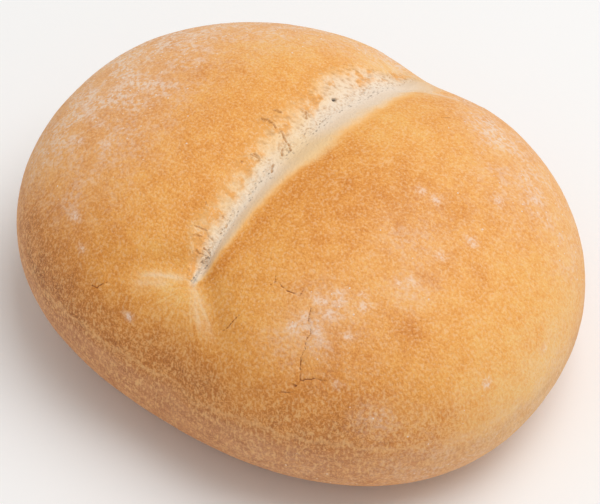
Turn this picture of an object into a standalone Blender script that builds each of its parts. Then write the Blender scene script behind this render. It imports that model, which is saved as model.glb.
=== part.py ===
"""A white bread roll, built as one solid.

An oval bun of wheat dough is pressed in across its middle before it is baked, so that it rises as two lobes with a
torn cleft between them. Each end of the cleft splits into two shallow creases that run down the roll's side.

Metres, +Z up. The origin is the centre of the flat base, X runs along the roll and Y along the cleft, with the
cleft's narrow end at -Y. Run it with: blender --background --python part.py
"""

import math

import bmesh
import bpy
from mathutils import Vector

# Driving sizes of the baked roll.
LENGTH = 0.108
WIDTH = 0.0857
HEIGHT = 0.0468

# The bun before it is pressed. A power of 2 is an ellipse, and a higher one is fuller.
WAIST_HEIGHT = 0.373 * HEIGHT
DOME_POWER = 2.29
PLAN_POWER = 2.27
BASE_SHARE = 0.65
TAPER = -0.052

# The cleft. Its bottom follows a shallow bow in the plan. Its depth and its banks' widths are given at both ends.
# A rounding of 0 leaves the bottom sharp, and the dip is the wide hollow that the cleft lies in.
CLEFT_SHIFT = -0.0024
CLEFT_SLANT = 0.062
CLEFT_BOW = 2.1
CLEFT_START = -0.0315
CLEFT_END = 0.0360
CLEFT_DEPTH = (0.0022, 0.0013)
CLEFT_ROUNDING = 0.3
START_FADE = 0.0030
END_FADE = 0.0140
LEFT_BANK = (0.0018, 0.0094)
RIGHT_BANK = (0.0008, 0.0070)
BANK_GROWTH = 0.5
DIP_DEPTH = 0.0022
DIP_WIDTH = 0.0110

# The creases at the cleft's ends, as plan places that each runs through.
CREASE_DEPTH = 0.0012
CREASE_WIDTH = 0.0032
CREASES = (
    ((-0.0030, -0.0300), (-0.0105, -0.0323), (-0.0175, -0.0362)),
    ((-0.0030, -0.0300), (0.0020, -0.0332), (0.0098, -0.0384)),
    ((0.0030, 0.0300), (-0.0030, 0.0345), (-0.0100, 0.0375)),
    ((0.0030, 0.0300), (0.0095, 0.0335), (0.0170, 0.0355)),
)

# Swells and hollows that make the bun uneven: the direction to the middle of each, and its height.
SWELL_REACH = 0.018
SWELLS = (
    (Vector((-0.95, 0.10, 0.25)), 0.0006),
    (Vector((-0.95, -0.30, 0.00)), -0.0006),
    (Vector((-0.75, 0.60, 0.40)), -0.0003),
    (Vector((-0.40, 0.80, 0.50)), -0.0005),
    (Vector((0.40, 0.75, 0.50)), -0.0004),
    (Vector((0.95, 0.00, 0.20)), 0.0005),
    (Vector((0.80, -0.50, 0.00)), -0.0004),
    (Vector((0.30, -0.90, -0.10)), 0.0006),
    (Vector((-0.20, -0.95, -0.10)), -0.0003),
)

# The mesh. Its rows crowd towards the cleft, and the dome's middle ones slide to lie along it: the slide fades out
# over the last share of the way to the waist. The heel is the round turn from the waist to the base, and takes half
# of the rows below the waist.
CELLS = 28
CROWDING = 1.35
HEEL_TURN = 0.5
ROW_SLIDE = 0.35

CRUST_COLOR = (0.80, 0.45, 0.17, 1.0)
CRUST_ROUGHNESS = 0.6


def clear_scene():
    for obj in list(bpy.data.objects):
        bpy.data.objects.remove(obj, do_unlink=True)


def smooth_step(share):
    share = min(1.0, max(0.0, share))
    return share * share * (3 - 2 * share)


def plan_share(x, y):
    """How far out a plan place lies: 0 on the roll's axis and 1 at the waist."""
    return ((abs(x) * 2 / LENGTH) ** PLAN_POWER + (abs(y) * 2 / WIDTH) ** PLAN_POWER) ** (1 / PLAN_POWER)


def dome_height(share):
    """Height of the plain dome at a share of the way out from the axis."""
    rise = max(0.0, 1 - share**DOME_POWER) ** (1 / DOME_POWER)
    return WAIST_HEIGHT + (HEIGHT - WAIST_HEIGHT) * rise


def on_dome(x, y):
    """The point of the plain dome over a plan place."""
    return Vector((x, y, dome_height(plan_share(x, y))))


def plain_point(direction):
    """The plain bun's surface, in a unit direction: dome above the waist, round heel below it, then the base."""
    level = math.asin(max(-1.0, min(1.0, direction.z))) / (math.pi / 2)
    if level >= 0:
        share = math.cos(level * math.pi / 2)
        height = dome_height(share)
    elif level > -HEEL_TURN:
        turn = -level / HEEL_TURN * math.pi / 2
        share = BASE_SHARE + (1 - BASE_SHARE) * math.cos(turn)
        height = WAIST_HEIGHT * (1 - math.sin(turn))
    else:
        share = BASE_SHARE * (1 + level) / (1 - HEEL_TURN)
        height = 0.0
    rim = plan_share(direction.x, direction.y)
    if rim < 1e-6:
        return Vector((0, 0, height))
    return Vector((direction.x * share / rim, direction.y * share / rim, height))


def inward(point):
    """Unit direction into the bun at a point of its surface."""
    slope = Vector(
        (
            point.x / (LENGTH / 2) ** 2,
            point.y / (WIDTH / 2) ** 2,
            (point.z - WAIST_HEIGHT) / (HEIGHT - WAIST_HEIGHT) ** 2,
        )
    )
    return -slope.normalized()


def cleft_line(y):
    """The x of the cleft's bottom."""
    return CLEFT_SHIFT + CLEFT_SLANT * y + CLEFT_BOW * y * y


def cleft_press(point):
    """How far the cleft and the dip around it press the bun in at a point."""
    off = point.x - cleft_line(point.y)
    along = min(1.0, max(0.0, (point.y - CLEFT_START) / (CLEFT_END - CLEFT_START)))
    bank = LEFT_BANK if off < 0 else RIGHT_BANK
    reach = bank[0] + (bank[1] - bank[0]) * along**BANK_GROWTH
    fade = smooth_step((point.y - CLEFT_START) / START_FADE) * smooth_step((CLEFT_END - point.y) / END_FADE)
    across = math.hypot(min(1.0, abs(off) / reach), CLEFT_ROUNDING) - CLEFT_ROUNDING
    bank_depth = 1 - math.sin(math.pi / 2 * across / (math.hypot(1, CLEFT_ROUNDING) - CLEFT_ROUNDING))
    depth = CLEFT_DEPTH[0] + (CLEFT_DEPTH[1] - CLEFT_DEPTH[0]) * along
    dip = DIP_DEPTH * math.exp(-((off / DIP_WIDTH) ** 2))
    return depth * fade * bank_depth + dip


def crease_press(point):
    """How far the creases at the cleft's ends press the bun in. Each one fades towards its far end."""
    deepest = 0.0
    for crease in CREASES:
        stops = [on_dome(x, y) for x, y in crease]
        for index, (start, end) in enumerate(zip(stops, stops[1:])):
            run = end - start
            share = min(1.0, max(0.0, (point - start).dot(run) / run.length_squared))
            away = (start + run * share - point).length
            left = 1 - (index + share) / (len(stops) - 1)
            deepest = max(deepest, CREASE_DEPTH * left**0.5 * math.exp(-((away / CREASE_WIDTH) ** 2)))
    return deepest


def swell(point):
    """Height of the unevenness at a point."""
    total = 0.0
    for direction, height in SWELLS:
        middle = plain_point(direction.normalized())
        total += height * math.exp(-((point - middle).length_squared / SWELL_REACH**2))
    return total


def laid_along_cleft(point):
    """Slides a point of the dome sideways, so that the mesh's middle row lies along the cleft's bottom."""
    inside = smooth_step((1 - plan_share(point.x, point.y)) / ROW_SLIDE)
    return on_dome(point.x + cleft_line(point.y) * inside, point.y)


def roll_point(direction):
    """The pressed roll's surface in a unit direction."""
    point = plain_point(direction)
    if direction.z > 0:
        point = laid_along_cleft(point)
    pressed = (cleft_press(point) + crease_press(point)) * smooth_step(point.z / WAIST_HEIGHT - 0.5)
    swollen = swell(point) * smooth_step(point.z / WAIST_HEIGHT)
    point += inward(point) * (pressed - swollen)
    point.x *= 1 + TAPER * point.y * 2 / WIDTH
    return point


def roll_mesh():
    """A cube's faces are cut into a grid and each corner moves to the roll's surface, so that no pole shows."""
    bm = bmesh.new()
    bmesh.ops.create_cube(bm, size=2)
    bmesh.ops.subdivide_edges(bm, edges=bm.edges[:], cuts=CELLS - 1, use_grid_fill=True)
    for vert in bm.verts:
        x, y, z = (math.tan(part * math.pi / 4) for part in vert.co)
        x = math.copysign(abs(x) ** CROWDING, x)
        vert.co = roll_point(Vector((x, y, z)).normalized())
    fit_to_sizes(bm)
    mesh = bpy.data.meshes.new("roll")
    bm.to_mesh(mesh)
    bm.free()
    return mesh


def fit_to_sizes(bm):
    """Stands the roll on z = 0, centred on its box, at its driving sizes."""
    low = Vector(min(vert.co[axis] for vert in bm.verts) for axis in range(3))
    high = Vector(max(vert.co[axis] for vert in bm.verts) for axis in range(3))
    foot = Vector(((low.x + high.x) / 2, (low.y + high.y) / 2, low.z))
    scale = Vector(size / (top - bottom) for size, bottom, top in zip((LENGTH, WIDTH, HEIGHT), low, high))
    for vert in bm.verts:
        vert.co = (vert.co - foot) * scale


def crust_material():
    material = bpy.data.materials.new("crust")
    material.use_nodes = True
    shader = material.node_tree.nodes["Principled BSDF"]
    shader.inputs["Base Color"].default_value = CRUST_COLOR
    shader.inputs["Roughness"].default_value = CRUST_ROUGHNESS
    shader.inputs["Metallic"].default_value = 0.0
    return material


def main():
    clear_scene()
    bread = bpy.data.collections.new("bread_roll")
    bpy.context.scene.collection.children.link(bread)
    mesh = roll_mesh()
    mesh.shade_smooth()
    mesh.materials.append(crust_material())
    bread.objects.link(bpy.data.objects.new("roll", mesh))


main()
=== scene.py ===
"""The looks of a white bread roll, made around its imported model. Metres, +Z up."""

import math

import bmesh
import bpy
import numpy as np
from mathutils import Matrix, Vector


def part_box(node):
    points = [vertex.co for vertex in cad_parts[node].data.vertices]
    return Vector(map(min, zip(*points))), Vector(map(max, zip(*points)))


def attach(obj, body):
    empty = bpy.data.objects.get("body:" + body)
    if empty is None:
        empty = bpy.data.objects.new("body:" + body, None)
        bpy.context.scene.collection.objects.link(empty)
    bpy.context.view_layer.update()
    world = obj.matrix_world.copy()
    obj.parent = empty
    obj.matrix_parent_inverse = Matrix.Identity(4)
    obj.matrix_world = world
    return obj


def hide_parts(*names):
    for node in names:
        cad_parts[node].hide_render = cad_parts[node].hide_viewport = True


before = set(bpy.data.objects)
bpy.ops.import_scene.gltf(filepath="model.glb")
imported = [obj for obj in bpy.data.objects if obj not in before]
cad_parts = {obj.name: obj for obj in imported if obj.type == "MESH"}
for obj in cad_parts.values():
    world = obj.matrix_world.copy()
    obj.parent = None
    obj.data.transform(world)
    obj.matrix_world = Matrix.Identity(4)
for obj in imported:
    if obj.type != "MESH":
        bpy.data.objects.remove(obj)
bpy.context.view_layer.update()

# ---- The bun ----------------------------------------------------------------------------------------------------
# One piece of wheat dough is shaped into an oval bun and pressed in across its middle before it is baked. It rises as
# two lobes with a cleft between them, and each end of the cleft splits into two creases that run down the side.
LOW, HIGH = (np.array(corner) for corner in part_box("roll"))
LENGTH, WIDTH, HEIGHT = HIGH - LOW

# The bun before it is pressed. A power of 2 is an ellipse, and a higher one is fuller.
WAIST_HEIGHT = 0.373 * HEIGHT
DOME_POWER = 2.29
PLAN_POWER = 2.27
BASE_SHARE = 0.65
TAPER = -0.052

# The cleft. Its bottom follows a shallow bow in the plan, and its depth and its banks' widths are given at both ends.
# The dip is the wide hollow that the cleft lies in.
CLEFT_SHIFT = -0.0024
CLEFT_SLANT = 0.062
CLEFT_BOW = 2.1
CLEFT_START = -0.0315
CLEFT_END = 0.0360
CLEFT_DEPTH = (0.0022, 0.0013)
CLEFT_ROUNDING = 0.3
START_FADE = 0.0030
END_FADE = 0.0140
LEFT_BANK = (0.0018, 0.0094)
RIGHT_BANK = (0.0008, 0.0070)
BANK_GROWTH = 0.5
DIP_DEPTH = 0.0022
DIP_WIDTH = 0.0110

# The creases at the cleft's ends, as plan places that each runs through.
CREASE_DEPTH = 0.0012
CREASE_WIDTH = 0.0032
CREASES = (
    ((-0.0030, -0.0300), (-0.0105, -0.0323), (-0.0175, -0.0362)),
    ((-0.0030, -0.0300), (0.0020, -0.0332), (0.0098, -0.0384)),
    ((0.0030, 0.0300), (-0.0030, 0.0345), (-0.0100, 0.0375)),
    ((0.0030, 0.0300), (0.0095, 0.0335), (0.0170, 0.0355)),
)

# Swells and hollows that make the bun uneven: the direction to the middle of each, and its height.
SWELL_REACH = 0.018
SWELLS = (
    ((-0.95, 0.10, 0.25), 0.0006),
    ((-0.95, -0.30, 0.00), -0.0006),
    ((-0.75, 0.60, 0.40), -0.0003),
    ((-0.40, 0.80, 0.50), -0.0005),
    ((0.40, 0.75, 0.50), -0.0004),
    ((0.95, 0.00, 0.20), 0.0005),
    ((0.80, -0.50, 0.00), -0.0004),
    ((0.30, -0.90, -0.10), 0.0006),
    ((-0.20, -0.95, -0.10), -0.0003),
)

# The heel is the round turn from the waist to the base. The mesh's rows crowd towards the cleft, and the middle ones
# slide to lie along it: the slide fades out over the last share of the way to the waist.
HEEL_TURN = 0.5
ROW_SLIDE = 0.35
CROWDING = 1.35


def smooth_step(share):
    share = np.clip(share, 0, 1)
    return share * share * (3 - 2 * share)


def plan_share(x, y):
    """How far out a plan place lies: 0 on the roll's axis and 1 at the waist."""
    return ((np.abs(x) * 2 / LENGTH) ** PLAN_POWER + (np.abs(y) * 2 / WIDTH) ** PLAN_POWER) ** (1 / PLAN_POWER)


def on_dome(x, y):
    """The points of the plain dome over plan places."""
    rise = np.clip(1 - plan_share(x, y) ** DOME_POWER, 0, 1) ** (1 / DOME_POWER)
    return np.stack((x, y, WAIST_HEIGHT + (HEIGHT - WAIST_HEIGHT) * rise), axis=-1)


def plain_points(directions):
    """The plain bun's surface in unit directions: dome above the waist, round heel below it, then the base."""
    x, y, z = directions.T
    level = np.arcsin(np.clip(z, -1, 1)) / (math.pi / 2)
    turn = np.clip(-level / HEEL_TURN, 0, 1) * math.pi / 2
    heel = BASE_SHARE + (1 - BASE_SHARE) * np.cos(turn)
    base = BASE_SHARE * (1 + level) / (1 - HEEL_TURN)
    share = np.where(level >= 0, np.cos(level * math.pi / 2), np.where(level > -HEEL_TURN, heel, base))
    rim = np.maximum(plan_share(x, y), 1e-6)
    points = np.stack((x * share / rim, y * share / rim, WAIST_HEIGHT * (1 - np.sin(turn))), axis=1)
    dome = level > 0
    points[dome] = on_dome(*points[dome, :2].T)
    return points


def inward(points):
    """Unit directions into the bun at points of its surface."""
    x, y, z = points.T
    slope = np.stack(
        (x / (LENGTH / 2) ** 2, y / (WIDTH / 2) ** 2, (z - WAIST_HEIGHT) / (HEIGHT - WAIST_HEIGHT) ** 2), axis=1
    )
    return -slope / np.linalg.norm(slope, axis=1)[:, None]


def cleft_line(y):
    """The x of the cleft's bottom."""
    return CLEFT_SHIFT + CLEFT_SLANT * y + CLEFT_BOW * y * y


def cleft_place(points):
    """Where points lie in the cleft: across it, from -1 at the left bank's edge to 1 at the right one's, and along."""
    x, y, _ = points.T
    off = x - cleft_line(y)
    along = np.clip((y - CLEFT_START) / (CLEFT_END - CLEFT_START), 0, 1)
    left = LEFT_BANK[0] + (LEFT_BANK[1] - LEFT_BANK[0]) * along**BANK_GROWTH
    right = RIGHT_BANK[0] + (RIGHT_BANK[1] - RIGHT_BANK[0]) * along**BANK_GROWTH
    return off / np.where(off < 0, left, right), along


def cleft_fade(points):
    """1 along the cleft, fading to 0 at both its ends."""
    y = points[:, 1]
    return smooth_step((y - CLEFT_START) / START_FADE) * smooth_step((CLEFT_END - y) / END_FADE)


def cleft_press(points):
    """How far the cleft and the dip around it press the bun in."""
    across, along = cleft_place(points)
    off = points[:, 0] - cleft_line(points[:, 1])
    depth = CLEFT_DEPTH[0] + (CLEFT_DEPTH[1] - CLEFT_DEPTH[0]) * along
    rounded = np.hypot(np.minimum(1, np.abs(across)), CLEFT_ROUNDING) - CLEFT_ROUNDING
    bank_depth = 1 - np.sin(math.pi / 2 * rounded / (math.hypot(1, CLEFT_ROUNDING) - CLEFT_ROUNDING))
    return depth * cleft_fade(points) * bank_depth + DIP_DEPTH * np.exp(-((off / DIP_WIDTH) ** 2))


def from_path(points, stops):
    """Each point's distance from a path of straight runs, and how far along it that is, from 0 to 1."""
    nearest = np.full(len(points), np.inf)
    reached = np.zeros(len(points))
    for index, (start, end) in enumerate(zip(stops, stops[1:])):
        run = end - start
        share = np.clip((points - start) @ run / (run @ run), 0, 1)
        away = np.linalg.norm(start + run * share[:, None] - points, axis=1)
        reached = np.where(away < nearest, (index + share) / (len(stops) - 1), reached)
        nearest = np.minimum(nearest, away)
    return nearest, reached


def crease_press(points):
    """How far the creases at the cleft's ends press the bun in. Each one fades towards its far end."""
    deepest = np.zeros(len(points))
    for crease in CREASES:
        away, reached = from_path(points, on_dome(*np.array(crease).T))
        deepest = np.maximum(deepest, CREASE_DEPTH * (1 - reached) ** 0.5 * np.exp(-((away / CREASE_WIDTH) ** 2)))
    return deepest


def swell(points):
    """Height of the unevenness."""
    raised = np.zeros(len(points))
    for direction, height in SWELLS:
        middle = plain_points(np.array([direction]) / np.linalg.norm(direction))
        raised += height * np.exp(-(((points - middle) ** 2).sum(axis=1) / SWELL_REACH**2))
    return raised


def unpressed(corners):
    """The plain bun's surface for corners of a cube, with rows crowded towards the cleft and laid along it."""
    directions = np.tan(corners * math.pi / 4)
    directions[:, 0] = np.sign(directions[:, 0]) * np.abs(directions[:, 0]) ** CROWDING
    directions /= np.linalg.norm(directions, axis=1)[:, None]
    points = plain_points(directions)
    dome = directions[:, 2] > 0
    x, y, _ = points[dome].T
    inside = smooth_step((1 - plan_share(x, y)) / ROW_SLIDE)
    points[dome] = on_dome(x + cleft_line(y) * inside, y)
    return points


def pressed(points):
    """The baked bun's surface for points of the plain one."""
    press = (cleft_press(points) + crease_press(points)) * smooth_step(points[:, 2] / WAIST_HEIGHT - 0.5)
    press -= swell(points) * smooth_step(points[:, 2] / WAIST_HEIGHT)
    baked = points + inward(points) * press[:, None]
    baked[:, 0] *= 1 + TAPER * baked[:, 1] * 2 / WIDTH
    return baked


def in_box(points, low, high):
    """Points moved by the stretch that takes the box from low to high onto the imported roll's box."""
    return LOW + (points - low) * (HIGH - LOW) / (high - low)


# ---- Cracks and tears -------------------------------------------------------------------------------------------
# The crust sets before the crumb has stopped growing, so it splits. Short dry cracks run over the lobes, and the
# left bank of the cleft, which was torn open, has curved rips across it. Each is a path of plan places, and the mesh
# is finer along it.
CRACKS = (
    ((0.0115, -0.0263), (0.0120, -0.0257), (0.0115, -0.0246)),
    ((0.0128, -0.0254), (0.0147, -0.0259), (0.0162, -0.0256), (0.0172, -0.0256), (0.0173, -0.0243)),
    (
        (0.0200, -0.0260),
        (0.0209, -0.0280),
        (0.0223, -0.0293),
        (0.0221, -0.0303),
        (0.0226, -0.0316),
        (0.0226, -0.0327),
        (0.0234, -0.0340),
        (0.0242, -0.0351),
        (0.0239, -0.0359),
        (0.0235, -0.0368),
        (0.0215, -0.0377),
    ),
    ((0.0242, -0.0351), (0.0262, -0.0338), (0.0282, -0.0330)),
    ((0.0091, -0.0323), (0.0086, -0.0334), (0.0081, -0.0343), (0.0073, -0.0349)),
    ((-0.0197, -0.0374), (-0.0184, -0.0374), (-0.0176, -0.0368), (-0.0169, -0.0363)),
    ((0.0149, 0.0217), (0.0158, 0.0233)),
)
RIPS = (
    ((-0.0101, 0.0012), (-0.0090, 0.0018), (-0.0080, 0.0016), (-0.0071, 0.0013)),
    ((-0.0059, 0.0015), (-0.0048, 0.0008), (-0.0036, 0.0005), (-0.0027, -0.0002)),
    ((-0.0072, -0.0063), (-0.0066, -0.0059), (-0.0059, -0.0057)),
    ((-0.0069, -0.0056), (-0.0061, -0.0054), (-0.0054, -0.0059)),
    ((-0.0033, -0.0048), (-0.0027, -0.0062)),
    ((-0.0039, -0.0012), (-0.0032, -0.0022)),
    ((-0.0098, 0.0042), (-0.0084, 0.0047)),
    ((-0.0052, 0.0080), (-0.0046, 0.0072)),
    ((-0.0070, -0.0231), (-0.0061, -0.0228), (-0.0051, -0.0224)),
    ((-0.0065, -0.0246), (-0.0053, -0.0238)),
    ((-0.0044, -0.0229), (-0.0035, -0.0226)),
    ((-0.0040, -0.0246), (-0.0028, -0.0246)),
    ((-0.0049, -0.0260), (-0.0040, -0.0256), (-0.0030, -0.0253)),
    ((-0.0075, -0.0084), (-0.0074, -0.0086)),
    ((-0.0079, -0.0187), (-0.0078, -0.0189)),
    ((-0.0044, -0.0184), (-0.0043, -0.0187)),
    ((-0.0032, -0.0192), (-0.0031, -0.0195)),
)
# Fainter cracks, the fold at the cleft's near end, and the hole of a burst bubble.
HAIRLINES = (
    ((0.0168, -0.0235), (0.0183, -0.0218), (0.0201, -0.0208), (0.0207, -0.0199)),
    ((0.0273, -0.0321), (0.0295, -0.0308)),
)
FOLD = (((-0.0032, -0.0262), (-0.0030, -0.0275), (-0.0026, -0.0289), (-0.0022, -0.0304)),)
HOLE = (((-0.0036, 0.0144), (-0.0035, 0.0146)),)
# Streaks where the rising dough stretched thin at the cleft's ends: the path, its half width and its paleness.
STRETCHED = (
    (
        ((-0.0030, -0.0301), (-0.0066, -0.0313), (-0.0091, -0.0323), (-0.0115, -0.0334), (-0.0138, -0.0341)),
        0.0005,
        1.0,
    ),
    (((-0.0060, -0.0322), (-0.0087, -0.0329), (-0.0114, -0.0345), (-0.0135, -0.0358)), 0.0010, 0.5),
    (
        ((-0.0024, -0.0305), (-0.0008, -0.0320), (0.0008, -0.0339), (0.0033, -0.0357), (0.0045, -0.0366)),
        0.0008,
        0.55,
    ),
    (((-0.0014, -0.0312), (0.0020, -0.0334), (0.0052, -0.0360), (0.0080, -0.0372)), 0.0010, 0.4),
    (((0.0026, 0.0290), (-0.0030, 0.0330), (-0.0100, 0.0360)), 0.0012, 0.3),
    (((0.0026, 0.0290), (0.0095, 0.0320), (0.0170, 0.0340)), 0.0012, 0.8),
)
# Small white smears of flour, which need a finer mesh too: the plan place, the reach and how much.
SMEARS = (
    (-0.0350, 0.0135, 0.0010, 1.2),
    (-0.0300, 0.0117, 0.0008, 1.0),
    (-0.0290, 0.0081, 0.0010, 1.0),
    (-0.0324, -0.0002, 0.0008, 1.2),
    (-0.0336, -0.0022, 0.0008, 1.1),
    (-0.0396, -0.0006, 0.0008, 1.1),
    (-0.0392, -0.0034, 0.0009, 1.2),
    (-0.0439, -0.0044, 0.0009, 1.2),
    (-0.0431, -0.0084, 0.0008, 1.4),
    (-0.0410, -0.0100, 0.0008, 1.4),
    (-0.0389, -0.0113, 0.0008, 1.4),
    (-0.0360, -0.0126, 0.0008, 1.1),
    (-0.0399, -0.0164, 0.0010, 1.2),
    (-0.0377, -0.0166, 0.0009, 1.1),
    (-0.0318, -0.0163, 0.0009, 1.1),
    (0.0230, 0.0037, 0.0009, 1.1),
    (0.0260, 0.0040, 0.0008, 1.4),
    (0.0353, 0.0015, 0.0010, 1.2),
    (0.0329, -0.0048, 0.0009, 1.2),
    (0.0371, 0.0195, 0.0009, 1.3),
    (0.0336, 0.0126, 0.0009, 1.1),
    (0.0300, -0.0140, 0.0007, 1.0),
    (0.0316, -0.0123, 0.0007, 1.0),
    (0.0202, -0.0245, 0.0008, 1.2),
    (0.0216, -0.0241, 0.0008, 1.3),
    (0.0238, -0.0226, 0.0010, 1.2),
    (0.0228, -0.0215, 0.0007, 1.3),
    (0.0276, -0.0209, 0.0010, 1.2),
    (0.0262, -0.0193, 0.0007, 1.0),
    (0.0235, -0.0253, 0.0009, 1.3),
    (0.0199, -0.0276, 0.0009, 1.1),
    (0.0190, -0.0301, 0.0010, 1.3),
    (0.0231, -0.0284, 0.0008, 1.4),
    (0.0279, -0.0263, 0.0007, 1.2),
    (0.0243, -0.0291, 0.0006, 1.2),
    (0.0300, -0.0323, 0.0007, 1.0),
    (-0.0290, -0.0296, 0.0010, 1.2),
    (-0.0245, -0.0337, 0.0008, 1.0),
    (-0.0105, -0.0385, 0.0008, 1.6),
    (0.0497, -0.0147, 0.0008, 1.6),
    (0.0528, -0.0009, 0.0009, 1.0),
)
SMEAR_MARGIN = 1.4

# The mesh starts as a grid of cells on each side of a cube. Its edges are halved in the cleft, up to a little past the
# banks' edges, and then in rounds: how far each reaches from a split, how far from the cleft's bottom, and whether it
# takes in the streaks and smears.
CELLS = 60
CLEFT_MARGIN = 1.1
START_MARGIN = 0.001
ROUNDS = ((0.0008, 0.0022, True), (0.0005, 0.0010, True), (0.0003, 0.0002, False))

# The bare dough in the cleft: how far past the cleft's ends it starts and stops, and over what length it fades there.
BARE_START = (0.0016, 0.0015)
BARE_END = (0.0020, 0.0060)
# Where more of a bank is bare: the y, the reach along the cleft, and the bank, -1 for the left and 1 for the right.
BARE_SPREAD = 0.20
BARE_SPREADS = (
    (0.0030, 0.0110, 1),
    (-0.0230, 0.0050, -1),
    (0.0012, 0.0024, -1),
    (0.0185, 0.0038, -1),
)
# Past this y, and fully after this length, the bare dough narrows on the left bank and on the right one.
NARROWING_START = 0.0260
NARROWING_LENGTH = 0.0060
NARROWING = (1.1, 0.4)


def before_baking(path):
    """The points of the plain bun that the cleft's and the creases' pressing moves to these plan places."""
    wanted = np.array(path)
    found = wanted.copy()
    for _ in range(6):
        found += wanted - pressed(on_dome(*found.T))[:, :2]
    return on_dome(*found.T)


def refine(bm, near):
    """Halves every edge whose middle lies where near() says."""
    bm.verts.index_update()
    corners = np.array([vert.co[:] for vert in bm.verts])
    edges = list(bm.edges)
    ends = np.array([[edge.verts[0].index, edge.verts[1].index] for edge in edges])
    middles = unpressed((corners[ends[:, 0]] + corners[ends[:, 1]]) / 2)
    chosen = [edges[index] for index in np.flatnonzero(near(middles))]
    bmesh.ops.subdivide_edges(bm, edges=chosen, cuts=1, use_grid_fill=True)


def in_cleft(points):
    """Whether points lie in the cleft or just past its edge."""
    across, _ = cleft_place(points)
    y = points[:, 1]
    beside = (np.abs(across) < CLEFT_MARGIN) & (points[:, 2] > WAIST_HEIGHT)
    return beside & (y > CLEFT_START - START_MARGIN) & (y < CLEFT_END)


def near_marks(split_reach, bottom_reach, streaks_too):
    """A test for points near a split, near the cleft's bottom or, in some rounds, near a streak or a smear."""

    def test(points):
        off = np.abs(points[:, 0] - cleft_line(points[:, 1]))
        close = in_cleft(points) & (off < bottom_reach)
        for path in CRACKS + RIPS + HAIRLINES + FOLD + HOLE:
            away, _ = from_path(points, before_baking(path))
            close |= away < split_reach
        if streaks_too:
            for path, width, _ in STRETCHED:
                away, _ = from_path(points, before_baking(path))
                close |= away < width
            for middle, (_, _, size, _) in zip(SMEAR_PLACES, SMEARS):
                close |= np.linalg.norm(points - middle, axis=1) < SMEAR_MARGIN * size
        return close

    return test


SMEAR_PLACES = before_baking([smear[:2] for smear in SMEARS])

bm = bmesh.new()
bmesh.ops.create_cube(bm, size=2)
bmesh.ops.subdivide_edges(bm, edges=bm.edges[:], cuts=CELLS - 1, use_grid_fill=True)
refine(bm, in_cleft)
for reaches in ROUNDS:
    refine(bm, near_marks(*reaches))
bmesh.ops.triangulate(bm, faces=[face for face in bm.faces if len(face.verts) > 4])
hull = bpy.data.meshes.new("plain roll")
bm.to_mesh(hull)
bm.free()
plain = unpressed(np.array([vert.co[:] for vert in hull.vertices]))
baked = pressed(plain)
low, high = baked.min(axis=0), baked.max(axis=0)
hull.vertices.foreach_set("co", in_box(baked, low, high).astype(np.float32).ravel())
hull.shade_smooth()


def keep(mesh, name, values):
    """Stores one number, or one vector, for each point of a mesh."""
    kind, slot = ("FLOAT", "value") if values.ndim == 1 else ("FLOAT_VECTOR", "vector")
    mesh.attributes.new(name, kind, "POINT").data.foreach_set(slot, values.astype(np.float32).ravel())


def placed(name, data):
    """A new object in the scene."""
    made = bpy.data.objects.new(name, data)
    bpy.context.scene.collection.objects.link(made)
    return made


def path_object(name, paths):
    """Paths of plan places as an object of bare edges, laid on the baked roll."""
    mesh = bpy.data.meshes.new(name)
    points, edges = [], []
    for path in paths:
        first = len(points)
        edges += [(index, index + 1) for index in range(first, first + len(path) - 1)]
        points += list(in_box(pressed(before_baking(path)), low, high))
    mesh.from_pydata(points, edges, [])
    return placed(name, mesh)


across, along = cleft_place(plain)
y = plain[:, 1]
fade = smooth_step((y - CLEFT_START + BARE_START[0]) / BARE_START[1])
fade *= smooth_step((CLEFT_END + BARE_END[0] - y) / BARE_END[1])
fade *= plain[:, 2] > WAIST_HEIGHT
spread = np.ones(len(plain))
for middle, reach, bank in BARE_SPREADS:
    spread += BARE_SPREAD * np.exp(-(((y - middle) / reach) ** 2)) * (bank * across > 0)
narrowed = smooth_step((y - NARROWING_START) / NARROWING_LENGTH)
narrowing = 1 + narrowed * np.where(across > 0, NARROWING[1], NARROWING[0])
keep(hull, "cleft", np.stack((np.clip(across / spread * narrowing, -3, 3), along, fade), axis=1))
keep(hull, "off", plain[:, 0] - cleft_line(y))

# ---- Browning, painted light and shade, and flour ---------------------------------------------------------------
# The oven browns the dough most where it bulges towards the heat and least where it stretched last, and the baker's
# flour stays on it in patches. Both are kept on the mesh as numbers, for the crust's colours and the flour's clumps.
# The browning number also carries some painted light and shade.

# The cleft's shoulders caught more heat, and the right bank's shoulder also gets painted shade: the place and reach
# across the banks, and the left one's share of it.
SHOULDER_BROWNING_AND_SHADE = 0.11
SHOULDER_PLACE = 1.6
SHOULDER_REACH = 0.5
LEFT_SHOULDER = 0.1
# So did the near side below the lobes: the height and the y where that begins, each with the length it grows over.
BELLY_BROWNING = 0.22
BELLY_HEIGHT = (0.038, 0.016)
BELLY_SIDE = (0.012, 0.024)
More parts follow.
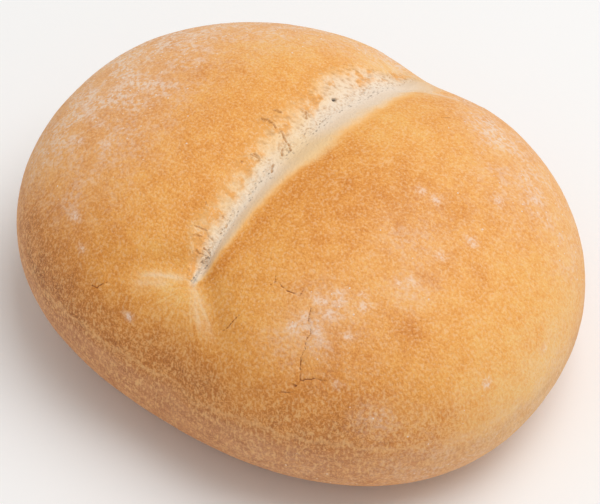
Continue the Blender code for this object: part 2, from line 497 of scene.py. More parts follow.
# Where the crust is browner or paler than around it, and where painted light brightens the lower right side: the
# place, its reach and the change.
BAKE_AND_LIGHT_PATCHES = (
    ((-0.0040, -0.0330, 0.0360), 0.0062, -0.13),
    ((0.0010, 0.0330, 0.0400), 0.0075, -0.28),
    ((-0.0380, -0.0280, 0.0260), 0.0140, 0.04),
    ((-0.0200, -0.0390, 0.0270), 0.0140, 0.05),
    ((-0.0200, 0.0050, 0.0450), 0.0120, 0.03),
    ((-0.0150, 0.0180, 0.0430), 0.0090, -0.10),
    ((0.0090, 0.0130, 0.0440), 0.0090, -0.10),
    ((0.0120, -0.0080, 0.0460), 0.0120, 0.05),
    ((0.0300, -0.0335, 0.0310), 0.0100, 0.05),
    ((0.0358, -0.0188, 0.0391), 0.0028, 0.16),
    ((0.0339, -0.0100, 0.0420), 0.0022, 0.14),
    ((0.0320, -0.0130, 0.0415), 0.0055, -0.05),
    # Painted light: these three brighten the right side towards the base.
    ((0.0480, 0.0050, 0.0250), 0.0180, -0.10),
    ((0.0440, -0.0280, 0.0120), 0.0140, -0.10),
    ((0.0530, -0.0060, 0.0150), 0.0130, -0.18),
    ((-0.0150, 0.0380, 0.0320), 0.0120, -0.08),
)
# Where the baker's flour still lies: the place, its reach and how much.
FLOUR_PATCHES = (
    ((-0.0410, 0.0020, 0.0350), 0.0150, 0.75),
    ((-0.0330, 0.0180, 0.0360), 0.0120, 0.60),
    ((-0.0480, 0.0120, 0.0240), 0.0140, 0.80),
    ((-0.0460, -0.0170, 0.0300), 0.0090, 0.60),
    ((-0.0310, -0.0220, 0.0370), 0.0100, 0.35),
    ((-0.0300, -0.0120, 0.0410), 0.0090, 0.35),
    ((-0.0280, 0.0340, 0.0280), 0.0140, 0.80),
    ((-0.0080, 0.0400, 0.0300), 0.0140, 1.00),
    ((0.0120, 0.0400, 0.0280), 0.0120, 0.70),
    ((-0.0210, 0.0265, 0.0400), 0.0070, 0.30),
    ((0.0420, 0.0280, 0.0260), 0.0140, 0.35),
    ((0.0530, 0.0000, 0.0180), 0.0120, 0.35),
    ((0.0470, -0.0240, 0.0120), 0.0140, 0.45),
    ((0.0250, -0.0380, 0.0100), 0.0120, 0.20),
    ((0.0300, 0.0100, 0.0400), 0.0160, 0.12),
    ((0.0280, -0.0250, 0.0370), 0.0120, 0.10),
    ((-0.0409, -0.0092, 0.0350), 0.0040, 0.7),
    ((-0.0390, -0.0027, 0.0370), 0.0070, 0.6),
    ((-0.0418, 0.0126, 0.0340), 0.0070, 0.7),
    ((-0.0402, -0.0163, 0.0330), 0.0035, 0.8),
    ((-0.0294, -0.0001, 0.0430), 0.0050, 0.4),
    ((-0.0307, -0.0274, 0.0340), 0.0030, 0.6),
    ((0.0218, 0.0271, 0.0380), 0.0045, 0.8),
    ((0.0345, 0.0200, 0.0370), 0.0080, 0.5),
    ((0.0250, 0.0295, 0.0370), 0.0090, 0.4),
    ((0.0263, -0.0051, 0.0440), 0.0060, 0.35),
    ((0.0224, -0.0263, 0.0400), 0.0060, 0.45),
    ((0.0194, -0.0301, 0.0370), 0.0050, 0.45),
    ((0.0368, -0.0310, 0.0280), 0.0035, 0.5),
    ((0.0315, -0.0127, 0.0410), 0.0040, 0.5),
    ((0.0448, 0.0159, 0.0310), 0.0040, 0.5),
)


def patches(points, spots):
    """The sum of soft round spots, each with its middle, its reach and its height."""
    spotted = np.zeros(len(points))
    for middle, reach, height in spots:
        spotted += height * np.exp(-(((points - np.array(middle)) ** 2).sum(axis=1) / reach**2))
    return spotted


places = in_box(baked, low, high)
bake_and_painted_light = 0.5 + patches(places, BAKE_AND_LIGHT_PATCHES)
# The shoulders' darkening is browning, and on the right bank it is partly painted shade.
shoulder = np.exp(-(((np.abs(across) - SHOULDER_PLACE) / SHOULDER_REACH) ** 2))
bake_and_painted_light += SHOULDER_BROWNING_AND_SHADE * shoulder * fade * (1 - along) * np.where(across > 0, 1, LEFT_SHOULDER)
belly = smooth_step((BELLY_HEIGHT[0] - places[:, 2]) / BELLY_HEIGHT[1])
belly *= smooth_step((-places[:, 1] - BELLY_SIDE[0]) / BELLY_SIDE[1])
bake_and_painted_light += BELLY_BROWNING * belly
stretch = np.zeros(len(places))
for path, width, paleness in STRETCHED:
    away, reached = from_path(plain, before_baking(path))
    # A streak grows stronger over its first quarter and fades over its last half.
    ends = smooth_step(reached / 0.25 + 0.3) * smooth_step((1 - reached) / 0.5)
    stretch = np.maximum(stretch, paleness * ends * np.exp(-((away / width) ** 2)))
keep(hull, "stretch", stretch)
keep(hull, "bake_and_painted_light", bake_and_painted_light)
keep(hull, "flour", np.minimum(1, patches(places, FLOUR_PATCHES)))
smear = np.zeros(len(places))
for middle, (_, _, size, amount) in zip(SMEAR_PLACES, SMEARS):
    smear = np.maximum(smear, amount * np.exp(-((np.linalg.norm(plain - middle, axis=1) / size) ** 3)))
keep(hull, "smear", smear)

roll = placed("roll_hull", hull)

# ---- The crust's relief -----------------------------------------------------------------------------------------
# The skin of the dough dries into low lumps and wrinkles. Cracks, rips and burst bubbles sink into it, and the crumb
# torn open on the cleft's left bank stands up in shreds.


def add(tree, kind, inputs, **settings):
    """Adds a node, with its settings, and fills its inputs with plain values or with other nodes' outputs."""
    made = tree.nodes.new(kind)
    for name, value in settings.items():
        setattr(made, name, value)
    for key, value in inputs.items():
        if isinstance(value, bpy.types.NodeSocket):
            tree.links.new(value, made.inputs[key])
        else:
            made.inputs[key].default_value = value
    return made


def calc(tree, operation, *values):
    """The result of a Math node on plain values or other nodes' outputs."""
    return add(tree, "ShaderNodeMath", dict(enumerate(values)), operation=operation).outputs[0]


def product(tree, first, *others):
    """All these values multiplied."""
    for other in others:
        first = calc(tree, "MULTIPLY", first, other)
    return first


def total(tree, first, *others):
    """All these values added up."""
    for other in others:
        first = calc(tree, "ADD", first, other)
    return first


def vector(tree, operation, first, second):
    """The result of a Vector Math node on two vectors, or on a vector and a scale."""
    key = "Scale" if operation == "SCALE" else 1
    return add(tree, "ShaderNodeVectorMath", {0: first, key: second}, operation=operation).outputs[0]


def axes(tree, place):
    """A place's three numbers."""
    return add(tree, "ShaderNodeSeparateXYZ", {0: place}).outputs


def step(tree, value, start, end):
    """A smooth step from 0, where the value is at start, to 1, where it is at end."""
    sockets = {"Value": value, "From Min": start, "From Max": end}
    return add(tree, "ShaderNodeMapRange", sockets, interpolation_type="SMOOTHSTEP").outputs[0]


def noise(tree, place, size, detail=2.0, output="Fac"):
    """Cloudy noise whose lumps are about as wide as size."""
    return add(tree, "ShaderNodeTexNoise", {"Vector": place, "Scale": 1 / size, "Detail": detail}).outputs[output]


def uneven(tree, place, size, height, detail=2.0):
    """Noise from -height/2 to height/2."""
    return calc(tree, "MULTIPLY", calc(tree, "SUBTRACT", noise(tree, place, size, detail), 0.5), height)


def shifted(tree, place, size, reach):
    """A place moved at random by up to about reach, evenly over lumps as wide as size."""
    cloud = vector(tree, "SUBTRACT", noise(tree, place, size, 2.0, "Color"), (0.5, 0.5, 0.5))
    return vector(tree, "ADD", place, vector(tree, "SCALE", cloud, 2 * reach))


def stretched(tree, place, angle, sizes):
    """A place turned about Z and then measured in lumps of three sizes, for noise that is drawn out one way."""
    turned = add(
        tree, "ShaderNodeVectorRotate", {"Vector": place, "Angle": angle}, rotation_type="Z_AXIS"
    ).outputs[0]
    return vector(tree, "MULTIPLY", turned, tuple(1 / size for size in sizes))


SOCKETS = {
    float: "NodeSocketFloat",
    bpy.types.Object: "NodeSocketObject",
    bpy.types.Material: "NodeSocketMaterial",
}


def geometry_tree(name, values):
    """An empty Geometry Nodes tree with one named input for each value."""
    tree = bpy.data.node_groups.new(name, "GeometryNodeTree")
    tree.is_modifier = True
    tree.interface.new_socket("Geometry", in_out="INPUT", socket_type="NodeSocketGeometry")
    tree.interface.new_socket("Geometry", in_out="OUTPUT", socket_type="NodeSocketGeometry")
    for label, value in values.items():
        tree.interface.new_socket(label, in_out="INPUT", socket_type=SOCKETS[type(value)])
    return tree, tree.nodes.new("NodeGroupInput").outputs


def made_by(tree, source, values, name):
    """The plain mesh object that a tree makes of the source with these inputs."""
    modifier = source.modifiers.new(tree.name, "NODES")
    modifier.node_group = tree
    for item in tree.interface.items_tree:
        if item.in_out == "INPUT" and item.name in values:
            modifier[item.identifier] = values[item.name]
    finished = source.evaluated_get(bpy.context.evaluated_depsgraph_get())
    mesh = bpy.data.meshes.new_from_object(finished)
    mesh.name = name
    source.modifiers.remove(modifier)
    return placed(name, mesh)


def named(tree, name, kind="FLOAT"):
    """A value kept on the mesh under this name."""
    sockets = {"Name": name}
    return add(tree, "GeometryNodeInputNamedAttribute", sockets, data_type=kind).outputs["Attribute"]


def stored(tree, geometry, name, value):
    """The geometry with a number kept on each of its points under this name."""
    sockets = {"Geometry": geometry, "Name": name, "Value": value}
    return add(tree, "GeometryNodeStoreNamedAttribute", sockets, data_type="FLOAT", domain="POINT").outputs[0]


def split_depth(tree, paths, place, width):
    """1 on a path's line and 0 past half the width from it."""
    edges = add(tree, "GeometryNodeObjectInfo", {"Object": paths}, transform_space="ORIGINAL").outputs["Geometry"]
    away = add(
        tree, "GeometryNodeProximity", {"Geometry": edges, "Sample Position": place}, target_element="EDGES"
    ).outputs["Distance"]
    return step(tree, away, calc(tree, "MULTIPLY", width, 0.5), 0.0)


crust_material = bpy.data.materials.new("baked crust")
crust_material.use_nodes = True

RELIEF = {
    "Lump Size": 0.0090,
    "Lump Height": 0.00030,
    "Wrinkle Size": 0.0015,
    "Wrinkle Height": 0.00007,
    "Tear Height": 0.00070,
    "Pore Spacing": 0.00055,
    "Pore Depth": 0.00020,
    "Crack Width": 0.00036,
    "Crack Depth": 0.00018,
    "Hairline Width": 0.00022,
    "Rip Width": 0.00070,
    "Rip Depth": 0.00016,
    "Lip Height": 0.00016,
    "Fold Width": 0.00070,
    "Hole Width": 0.00105,
    "Hole Depth": 0.00050,
    "Cracks": path_object("cracks", CRACKS),
    "Hairlines": path_object("hairlines", HAIRLINES),
    "Rips": path_object("rips", RIPS),
    "Fold": path_object("fold", FOLD),
    "Hole": path_object("hole", HOLE),
    "Material": crust_material,
}
tree, given = geometry_tree("crust relief", RELIEF)
place = tree.nodes.new("GeometryNodeInputPosition").outputs[0]
height = axes(tree, place)["Z"]
bank_place, along_cleft, bare_share = axes(tree, named(tree, "cleft", "FLOAT_VECTOR"))


def relief(tree, place, size, detail, height):
    """Noise from -height/2 to height/2, where the size and the height are a tree's inputs."""
    scale = calc(tree, "DIVIDE", 1.0, size)
    cloud = add(tree, "ShaderNodeTexNoise", {"Vector": place, "Scale": scale, "Detail": detail}).outputs["Fac"]
    return product(tree, calc(tree, "SUBTRACT", cloud, 0.5), height)


lumps = relief(tree, place, given["Lump Size"], 1.0, given["Lump Height"])
creased = shifted(tree, place, 0.0030, 0.0006)
wrinkles = relief(tree, creased, given["Wrinkle Size"], 3.0, given["Wrinkle Height"])

# The left bank's torn crumb: shreds drawn out across the bank, and pulled strands at its near end.
flank = product(tree, step(tree, bank_place, -1.05, -0.70), step(tree, bank_place, 0.02, -0.12), bare_share)
near_end = step(tree, along_cleft, 0.48, 0.22)
twisted = shifted(tree, place, 0.0045, 0.0030)
shreds = noise(tree, stretched(tree, twisted, 0.5, (0.0022, 0.0011, 0.0022)), 1.0, 3.0)
streaks = noise(
    tree, stretched(tree, shifted(tree, place, 0.0020, 0.0005), 0.31, (0.0020, 0.0006, 0.0020)), 1.0, 2.0
)
tears = product(tree, calc(tree, "SUBTRACT", shreds, 0.5), given["Tear Height"], flank)
ripped = step(tree, calc(tree, "ABSOLUTE", calc(tree, "SUBTRACT", shreds, 0.5)), 0.030, 0.0)
pulled = product(tree, step(tree, streaks, 0.54, 0.66), near_end)
torn = product(tree, calc(tree, "MAXIMUM", product(tree, ripped, 0.6), product(tree, pulled, 0.5)), flank)

# Burst bubbles along the cleft's bottom.
bubbles = add(
    tree,
    "ShaderNodeTexVoronoi",
    {
        "Vector": stretched(tree, shifted(tree, place, 0.0006, 0.0002), 0.05, (0.8, 1.2, 1.0)),
        "Scale": calc(tree, "DIVIDE", 1.0, given["Pore Spacing"]),
    },
)
ragged_line = calc(tree, "ADD", named(tree, "off"), uneven(tree, place, 0.0018, 0.0028, 3.0))
on_line = product(
    tree, step(tree, ragged_line, -0.0014, -0.0008), step(tree, ragged_line, 0.0011, 0.0006), bare_share
)
cell = axes(tree, bubbles.outputs["Color"])
chosen = step(tree, cell["X"], 0.15, 0.75)
bubble_width = calc(tree, "MULTIPLY_ADD", cell["Y"], 0.30, 0.28)
bubbles_open = product(tree, step(tree, bubbles.outputs["Distance"], bubble_width, 0.10), chosen, on_line)

# Short rips, each with a raised lip around it.
curling = shifted(tree, place, 0.0010, 0.0004)
rips = split_depth(tree, given["Rips"], curling, given["Rip Width"])
rips = product(tree, rips, step(tree, noise(tree, place, 0.0009, 2.0), 0.24, 0.46))
around = split_depth(tree, given["Rips"], curling, calc(tree, "MULTIPLY", given["Rip Width"], 2.6))
lips = product(tree, calc(tree, "SUBTRACT", around, rips), given["Lip Height"])
torn = calc(tree, "MAXIMUM", torn, rips)

wandering = shifted(tree, place, 0.0012, 0.0003)
fold = split_depth(tree, given["Fold"], wandering, given["Fold Width"])
hole = split_depth(tree, given["Hole"], place, given["Hole Width"])
pores = calc(tree, "MAXIMUM", bubbles_open, calc(tree, "MULTIPLY", fold, 0.5))
cracks = split_depth(tree, given["Cracks"], wandering, given["Crack Width"])
hairlines = split_depth(tree, given["Hairlines"], wandering, given["Hairline Width"])
splits = calc(tree, "MAXIMUM", cracks, calc(tree, "MULTIPLY", hairlines, 0.6))

raised = total(tree, lumps, wrinkles, tears, lips)
sunk = total(
    tree,
    product(tree, pores, given["Pore Depth"]),
    product(tree, hole, given["Hole Depth"]),
    product(tree, torn, given["Rip Depth"]),
    product(tree, splits, given["Crack Depth"]),
)
above_base = step(tree, height, 0.0010, 0.0040)
rise = product(tree, calc(tree, "SUBTRACT", raised, sunk), above_base)
offset = vector(tree, "SCALE", tree.nodes.new("GeometryNodeInputNormal").outputs[0], rise)
surface = stored(tree, given["Geometry"], "torn", torn)
surface = stored(tree, surface, "pore", pores)
surface = stored(tree, surface, "crack", splits)
surface = stored(tree, surface, "hole", hole)
surface = add(tree, "GeometryNodeSetPosition", {"Geometry": surface, "Offset": offset}).outputs[0]
surface = add(tree, "GeometryNodeRealizeInstances", {"Geometry": surface}).outputs[0]
surface = add(tree, "GeometryNodeSetMaterial", {"Geometry": surface, "Material": given["Material"]}).outputs[0]
add(tree, "NodeGroupOutput", {"Geometry": surface})

crust = made_by(tree, roll, RELIEF, "roll_crust")
# The relief moves the outermost points a little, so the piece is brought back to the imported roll's box.
places = np.empty(len(crust.data.vertices) * 3, np.float32)
crust.data.vertices.foreach_get("co", places)
places = places.reshape(-1, 3).astype(float)
crust.data.vertices.foreach_set(
    "co", in_box(places, places.min(axis=0), places.max(axis=0)).astype(np.float32).ravel()
)
crust.data.update()
for spent in (roll, *(value for value in RELIEF.values() if isinstance(value, bpy.types.Object))):
    bpy.data.objects.remove(spent, do_unlink=True)

# ---- The crust's colours ----------------------------------------------------------------------------------------
# Baking turns cream dough gold, orange and then brown, unevenly and in fine squiggles. The belly below the waist
# stayed duller and pinker, and the crumb inside the cleft stayed cream. Flour lies on all of it as a thin dust.
# Painted shade darkens the cracks, the pores, the fold, the hole, part of the cleft's right shoulder and, in part, the
# cleft's bottom. Painted light brightens the right side towards the base.


def linear(red, green, blue):
    """A colour of 0 to 255 parts as the shader's linear numbers."""
    parts = (part / 255 for part in (red, green, blue))
    return (*(part / 12.92 if part <= 0.04045 else ((part + 0.055) / 1.055) ** 2.4 for part in parts), 1.0)


def ramp(tree, value, stops):
    """A colour that runs through the stops, each a value and its colour."""
    made = add(tree, "ShaderNodeValToRGB", {"Fac": value})
    elements = made.color_ramp.elements
    while len(elements) < len(stops):
        elements.new(1.0)
    for element, (position, color) in zip(elements, stops):
        element.position = position
        element.color = color
    return made.outputs["Color"]


def mixed(tree, share, first, second):
    """The first colour with a share of the second one laid over it."""
    return add(tree, "ShaderNodeMix", {0: share, 6: first, 7: second}, data_type="RGBA").outputs[2]


def attribute(tree, name, output="Fac"):
    """What the mesh keeps under this name, for a material."""
    return add(tree, "ShaderNodeAttribute", {}, attribute_name=name).outputs[output]


DOUGH = linear(244, 224, 190)
STRAW = linear(247, 214, 152)
GOLD = linear(246, 190, 106)
ORANGE = linear(239, 165, 75)
AMBER = linear(216, 133, 42)
BROWN = linear(182, 105, 30)
BURNT = linear(142, 80, 34)

# The crust below the waist, and the thin pale line at that belly's upper edge.
BELLY_DARK = linear(186, 118, 74)
BELLY_LIGHT = linear(212, 148, 100)
BELLY_EDGE = linear(238, 182, 120)

# Light marks in the crust: flecks on the upper and on the lower part, squiggles, and the stretched dough's rays.
FLECK_UPPER = linear(249, 205, 156)
FLECK_LOWER = linear(248, 200, 134)
SQUIGGLE = linear(242, 188, 122)
RAY = linear(246, 206, 150)
STREAK = linear(240, 210, 186)
SMEARED_FLOUR = linear(244, 222, 206)
FLOUR_SHADE = linear(240, 209, 184)
FLOUR_LIGHT = linear(243, 220, 198)

# What shows in the splits: the rips' own colours, and painted shade for the cracks, the pores with the fold, and the
# hole.
SLIT_SHADE = linear(146, 76, 22)
RIP = linear(180, 122, 58)
NEAR_RIP = linear(208, 158, 96)
PORE_SHADE = linear(146, 134, 122)
HOLE_SHADE = linear(20, 15, 12)

# The bare crumb: its colours across the cleft from the left bank to the right one, and what tints it. The greyer stop
# in the middle, at the cleft's bottom, is partly painted shade.
CRUMB = (
    (0.17, linear(243, 182, 106)),
    (0.265, linear(246, 194, 130)),
    (0.33, linear(247, 204, 150)),
    (0.38, linear(245, 212, 168)),
    # Partly painted shade: the cleft's bottom.
    (0.43, linear(242, 220, 192)),
    (0.50, linear(232, 214, 192)),
    (0.57, linear(240, 216, 188)),
    (0.66, linear(240, 212, 176)),
    (0.73, linear(246, 206, 156)),
    (0.79, linear(248, 192, 122)),
    (0.85, linear(240, 172, 86)),
)
CRUMB_YELLOW = linear(240, 204, 150)
CRUMB_FAR = linear(244, 226, 208)
CRUMB_LAST = linear(228, 200, 168)
CRUMB_GRAIN = linear(216, 172, 118)
CRUMB_FLECK = linear(250, 230, 200)

powder_group = bpy.data.node_groups.new("flour powder", "ShaderNodeTree")
powder_group.interface.new_socket("Place", in_out="INPUT", socket_type="NodeSocketVector")
powder_group.interface.new_socket("Grains per Metre", in_out="INPUT", socket_type="NodeSocketFloat")
powder_group.interface.new_socket("Color", in_out="OUTPUT", socket_type="NodeSocketColor")
powder_group.interface.new_socket("Height", in_out="OUTPUT", socket_type="NodeSocketFloat")
given = powder_group.nodes.new("NodeGroupInput").outputs
grains = add(
    powder_group,
    "ShaderNodeTexNoise",
    {"Vector": given["Place"], "Scale": given["Grains per Metre"], "Detail": 3.0},
).outputs["Fac"]
powder_color = mixed(powder_group, step(powder_group, grains, 0.35, 0.65), FLOUR_SHADE, FLOUR_LIGHT)
add(powder_group, "NodeGroupOutput", {"Color": powder_color, "Height": grains})


def powder(tree, place, grains_per_metre):
    """The flour's colour and fine relief as a material's nodes."""
    made = tree.nodes.new("ShaderNodeGroup")
    made.node_tree = powder_group
    tree.links.new(place, made.inputs["Place"])
    made.inputs["Grains per Metre"].default_value = grains_per_metre
    return made.outputs


CLEFT_TIP = (-0.0026, -0.0300, 0.0370)
MORE_BAKED = 0.06

tree = crust_material.node_tree
shader = tree.nodes["Principled BSDF"]
place = add(tree, "ShaderNodeTexCoord", {}).outputs["Object"]
sideways, _, height = axes(tree, place)

# How far each place is baked, with the painted light and shade that the mesh's browning number carries: uneven clouds,
# fine squiggles and grain.
clouds = noise(tree, place, 0.0180, 3.0)
mottle = noise(tree, place, 0.0035, 4.0)
curl_place = shifted(tree, place, 0.0010, 0.0006)
curls = calc(tree, "ABSOLUTE", calc(tree, "SUBTRACT", noise(tree, curl_place, 0.00075), 0.5))
squiggle = step(tree, curls, 0.060, 0.0)
upright = vector(tree, "MULTIPLY", place, (1.0, 1.0, 0.5))
grain = noise(tree, upright, 0.00048, 4.0)
dark_grain = step(tree, grain, 0.52, 0.66)
fleck = step(tree, grain, 0.49, 0.36)
lower = step(tree, height, 0.0380, 0.0240)

# Pale rays that fan out below the cleft's near tip, where the dough stretched.
tip = vector(tree, "SUBTRACT", place, CLEFT_TIP)
from_tip = add(tree, "ShaderNodeVectorMath", {0: tip}, operation="LENGTH").outputs["Value"]
tip_axes = axes(tree, tip)
bearing = calc(tree, "ARCTAN2", tip_axes["X"], calc(tree, "MULTIPLY", tip_axes["Z"], -1.0))
fanned = {"X": product(tree, bearing, 7.0), "Y": product(tree, from_tip, 90.0)}
fan = noise(tree, add(tree, "ShaderNodeCombineXYZ", fanned).outputs[0], 1.0, 3.0)
fan_reach = product(tree, step(tree, from_tip, 0.0150, 0.0060), step(tree, tip_axes["Z"], -0.0002, -0.0020))
rays = product(tree, step(tree, fan, 0.46, 0.74), fan_reach)

browning_and_painted_light = total(
    tree,
    attribute(tree, "bake_and_painted_light"),
    product(tree, calc(tree, "SUBTRACT", clouds, 0.5), 0.26),
    product(tree, calc(tree, "SUBTRACT", mottle, 0.5), 0.28),
    product(tree, attribute(tree, "stretch"), -0.15),
    product(tree, rays, -0.12),
    MORE_BAKED,
    product(tree, dark_grain, calc(tree, "MULTIPLY_ADD", lower, -0.02, 0.08)),
    product(tree, squiggle, calc(tree, "MULTIPLY_ADD", lower, -0.06, -0.10)),
)
color = ramp(
    tree,
    browning_and_painted_light,
    ((0.00, DOUGH), (0.18, STRAW), (0.35, GOLD), (0.52, ORANGE), (0.70, AMBER), (0.86, BROWN), (1.0, BURNT)),
)

# The belly below the waist and its edge.
rim = total(tree, height, uneven(tree, place, 0.0130, 0.0090), uneven(tree, place, 0.0020, 0.0030))
band = step(tree, rim, 0.0230, 0.0182)
streaky = noise(tree, stretched(tree, place, 0.0, (0.0040, 0.0040, 0.0011)), 1.0, 3.0)
band_color = mixed(tree, step(tree, streaky, 0.35, 0.65), BELLY_DARK, BELLY_LIGHT)
band_share = calc(tree, "MULTIPLY_ADD", step(tree, sideways, 0.0150, 0.0450), -0.22, 0.65)
color = mixed(tree, product(tree, band, band_share), color, band_color)
edge = product(tree, step(tree, rim, 0.0214, 0.0222), step(tree, rim, 0.0230, 0.0222))
color = mixed(tree, product(tree, edge, 0.42), color, BELLY_EDGE)

fleck_share = product(tree, fleck, calc(tree, "MULTIPLY_ADD", lower, 0.12, 0.36))
color = mixed(tree, fleck_share, color, mixed(tree, lower, FLECK_UPPER, FLECK_LOWER))
color = mixed(tree, product(tree, squiggle, lower, 0.46), color, SQUIGGLE)
color = mixed(tree, product(tree, rays, 0.35), color, RAY)
thin = product(tree, attribute(tree, "stretch"), calc(tree, "MULTIPLY_ADD", fan, 1.6, -0.2))
color = mixed(tree, product(tree, thin, 0.8), color, STREAK)

# Flour: a thin speckled dust, and small smears.
specks = product(
    tree,
    step(tree, noise(tree, place, 0.0008, 5.0), 0.40, 0.62),
    step(tree, noise(tree, place, 0.0042, 3.0), 0.34, 0.56),
)
dust = product(tree, attribute(tree, "flour"), calc(tree, "MULTIPLY_ADD", specks, 0.80, 0.27))
color = mixed(tree, product(tree, dust, 0.85), color, powder(tree, place, 1400.0)["Color"])
smear_share = calc(tree, "MULTIPLY_ADD", step(tree, grain, 0.58, 0.44), 0.32, 0.16)
color = mixed(tree, product(tree, attribute(tree, "smear"), smear_share), color, SMEARED_FLOUR)

# The bare crumb, with a ragged edge on the torn left bank and a smooth one on the right bank.
bank_place, along_cleft, bare_share = axes(tree, attribute(tree, "cleft", "Vector"))
ragged = total(tree, bank_place, uneven(tree, place, 0.0070, 1.5, 4.0), uneven(tree, place, 0.0016, 0.8, 3.0))
smooth = total(tree, bank_place, uneven(tree, place, 0.0080, 0.5), uneven(tree, place, 0.0009, 0.20, 3.0))
opened = product(tree, step(tree, ragged, -1.15, -0.55), step(tree, smooth, 1.20, 0.80), bare_share)
crumb = ramp(tree, calc(tree, "MULTIPLY_ADD", smooth, 0.3125, 0.5), CRUMB)
yellow = product(
    tree,
    step(tree, along_cleft, 0.36, 0.46),
    step(tree, along_cleft, 0.60, 0.50),
    step(tree, smooth, -0.45, -0.05),
)
crumb = mixed(tree, product(tree, yellow, 0.6), crumb, CRUMB_YELLOW)
far_end = product(
    tree, step(tree, along_cleft, 0.50, 0.80), step(tree, calc(tree, "ABSOLUTE", smooth), 0.85, 0.45)
)
crumb = mixed(tree, product(tree, far_end, 0.5), crumb, CRUMB_FAR)
crumb = mixed(tree, step(tree, along_cleft, 0.86, 1.00), crumb, CRUMB_LAST)
mottled_flank = product(tree, step(tree, mottle, 0.47, 0.57), step(tree, smooth, -0.20, -0.50), 0.8)
crumb = mixed(tree, mottled_flank, crumb, ORANGE)
torn_side = step(tree, smooth, 0.10, -0.20)
crumb = mixed(tree, product(tree, dark_grain, torn_side, 0.35), crumb, CRUMB_GRAIN)
crumb = mixed(tree, product(tree, fleck, torn_side, 0.30), crumb, CRUMB_FLECK)
color = mixed(tree, opened, color, crumb)

# The rips are darker than what they split. The hole, the pores with the fold, and the cracks get painted shade.
nearer = step(tree, along_cleft, 0.50, 0.24)
rip_color = mixed(tree, nearer, RIP, NEAR_RIP)
rip_share = product(tree, attribute(tree, "torn"), calc(tree, "MULTIPLY_ADD", nearer, -0.25, 0.85))
color = mixed(tree, rip_share, color, rip_color)
color = mixed(tree, product(tree, attribute(tree, "hole"), 0.95), color, HOLE_SHADE)
color = mixed(tree, product(tree, attribute(tree, "pore"), 0.80), color, PORE_SHADE)
broken = step(tree, noise(tree, place, 0.0013, 3.0), 0.36, 0.56)
split_share = total(tree, 0.70, product(tree, broken, 0.30))
split_share = product(tree, step(tree, attribute(tree, "crack"), 0.20, 0.9), split_share)
color = mixed(tree, split_share, color, SLIT_SHADE)
tree.links.new(color, shader.inputs["Base Color"])

dry = total(tree, product(tree, mottle, 0.22), product(tree, opened, 0.22), product(tree, dust, 0.25), 0.48)
tree.links.new(dry, shader.inputs["Roughness"])
rough = total(tree, product(tree, curls, -1.2), grain)
bump = add(tree, "ShaderNodeBump", {"Height": rough, "Strength": 0.8, "Distance": 0.00022})
tree.links.new(bump.outputs["Normal"], shader.inputs["Normal"])

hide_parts("roll")
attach(crust, "root")

# ---- Clumps of flour --------------------------------------------------------------------------------------------
# The baker dusts the dough before it is baked. Where the flour wasn't brushed off it clings to the crust in tiny
# flat lumps, thickest in the middle of each dusty patch.
flour_material = bpy.data.materials.new("wheat flour")
flour_material.use_nodes = True
tree = flour_material.node_tree
shader = tree.nodes["Principled BSDF"]
place = add(tree, "ShaderNodeTexCoord", {}).outputs["Object"]
grains = powder(tree, place, 2500.0)
tree.links.new(grains["Color"], shader.inputs["Base Color"])
tree.links.new(calc(tree, "MULTIPLY_ADD", grains["Height"], 0.1, 0.88), shader.inputs["Roughness"])
bump = add(tree, "ShaderNodeBump", {"Height": grains["Height"], "Strength": 0.5, "Distance": 0.00004})
tree.links.new(bump.outputs["Normal"], shader.inputs["Normal"])

SMEAR_SHARE = 0.7
FLATNESS = 0.30
SMALLEST, LARGEST = 0.45, 1.5
DUSTING = {
    "Clumps per Square Metre": 2.2e6,
    "Clump Radius": 0.00014,
    "Raggedness": 0.00010,
    "Material": flour_material,
}
tree, given = geometry_tree("flour dusting", DUSTING)
place = tree.nodes.new("GeometryNodeInputPosition").outputs[0]
dusty = calc(tree, "MAXIMUM", named(tree, "flour"), calc(tree, "MULTIPLY", named(tree, "smear"), SMEAR_SHARE))
gathered = step(tree, noise(tree, place, 0.0012, 4.0), 0.50, 0.68)
# No clump lies at the roll's very ends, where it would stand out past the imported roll's box.
end_distance = calc(tree, "ABSOLUTE", axes(tree, place)["X"])
inner = step(tree, end_distance, LENGTH / 2 - 0.0001, LENGTH / 2 - 0.0003)
points = add(
    tree,
    "GeometryNodeDistributePointsOnFaces",
    {
        "Mesh": given["Geometry"],
        "Density": product(tree, dusty, dusty, gathered, inner, given["Clumps per Square Metre"]),
        "Seed": 4,
    },
)
ball = add(
    tree, "GeometryNodeMeshUVSphere", {"Segments": 7, "Rings": 5, "Radius": given["Clump Radius"]}
).outputs["Mesh"]
flat = add(tree, "GeometryNodeTransform", {"Geometry": ball, "Scale": (1.0, 1.0, FLATNESS)}).outputs[0]
growth = add(tree, "FunctionNodeRandomValue", {2: SMALLEST, 3: LARGEST, "Seed": 9}, data_type="FLOAT").outputs[1]
clumps = add(
    tree,
    "GeometryNodeInstanceOnPoints",
    {
        "Points": points.outputs["Points"],
        "Instance": flat,
        "Rotation": points.outputs["Rotation"],
        "Scale": growth,
    },
).outputs[0]
clumps = add(tree, "GeometryNodeRealizeInstances", {"Geometry": clumps}).outputs[0]
jitter = vector(tree, "SUBTRACT", noise(tree, place, 0.0002, 1.0, "Color"), (0.5, 0.5, 0.5))
jitter = vector(tree, "SCALE", jitter, given["Raggedness"])
clumps = add(tree, "GeometryNodeSetPosition", {"Geometry": clumps, "Offset": jitter}).outputs[0]
clumps = add(tree, "GeometryNodeSetShadeSmooth", {"Geometry": clumps, "Shade Smooth": True}).outputs[0]
clumps = add(tree, "GeometryNodeSetMaterial", {"Geometry": clumps, "Material": given["Material"]}).outputs[0]
add(tree, "NodeGroupOutput", {"Geometry": clumps})

flour = made_by(tree, crust, DUSTING, "flour_clumps")
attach(flour, "root")

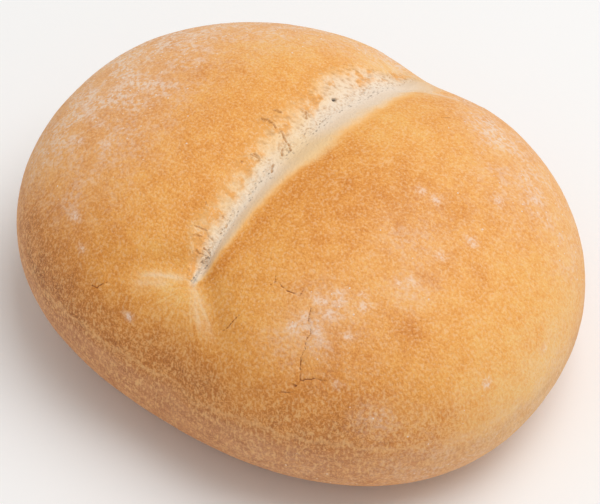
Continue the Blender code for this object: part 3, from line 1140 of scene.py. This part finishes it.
# ---- The studio -------------------------------------------------------------------------------------------------
# A white table, a wide soft lamp high on the right and behind, and an even glow from all round. The camera stands
# near the cleft's narrow end, a little to the right, and looks steeply down.
TABLE_REACH = 3
TABLE_WHITE = (0.93, 0.93, 0.93, 1)
TABLE_ROUGHNESS = 0.9
GLOW_COLOR = (1.0, 0.99, 0.97, 1)
GLOW_STRENGTH = 0.52
LAMP_WIDTH = 0.9
LAMP_POWER = 8.7
LAMP_DISTANCE = 1.2
LAMP_DIRECTION = Vector((0.28, 0.25, 1.0)).normalized()
FOCAL_LENGTH = 230.5
AZIMUTH = math.radians(35)
ELEVATION = math.radians(50)
DISTANCE = 0.7
AIM = Vector((0, 0, 0.025))
AIM_RIGHT = -0.00069
AIM_UP = -0.00502

table_mesh = bpy.data.meshes.new("table")
bm = bmesh.new()
bmesh.ops.create_grid(bm, x_segments=1, y_segments=1, size=TABLE_REACH)
bm.to_mesh(table_mesh)
bm.free()
paint = bpy.data.materials.new("table white")
paint.use_nodes = True
shader = paint.node_tree.nodes["Principled BSDF"]
shader.inputs["Base Color"].default_value = TABLE_WHITE
shader.inputs["Roughness"].default_value = TABLE_ROUGHNESS
table_mesh.materials.append(paint)
placed("table", table_mesh)

world = bpy.data.worlds.new("studio")
world.use_nodes = True
glow = world.node_tree.nodes["Background"]
glow.inputs["Color"].default_value = GLOW_COLOR
glow.inputs["Strength"].default_value = GLOW_STRENGTH
bpy.context.scene.world = world

lamp_light = bpy.data.lights.new("lamp", "AREA")
lamp_light.shape = "SQUARE"
lamp_light.size = LAMP_WIDTH
lamp_light.energy = LAMP_POWER
lamp = placed("lamp", lamp_light)
lamp.location = LAMP_DIRECTION * LAMP_DISTANCE
lamp.rotation_euler = (-lamp.location).to_track_quat("-Z", "Y").to_euler()

level = math.cos(ELEVATION)
back = Vector((math.sin(AZIMUTH) * level, -math.cos(AZIMUTH) * level, math.sin(ELEVATION)))
right = Vector((math.cos(AZIMUTH), math.sin(AZIMUTH), 0))
up = back.cross(right)
lens = bpy.data.cameras.new("camera")
lens.lens = FOCAL_LENGTH
lens.clip_start = 0.01
camera = placed("camera", lens)
camera.location = AIM + back * DISTANCE + right * AIM_RIGHT + up * AIM_UP
camera.rotation_euler = back.to_track_quat("Z", "Y").to_euler()
bpy.context.scene.camera = camera
bpy.context.scene.view_settings.view_transform = "Standard"
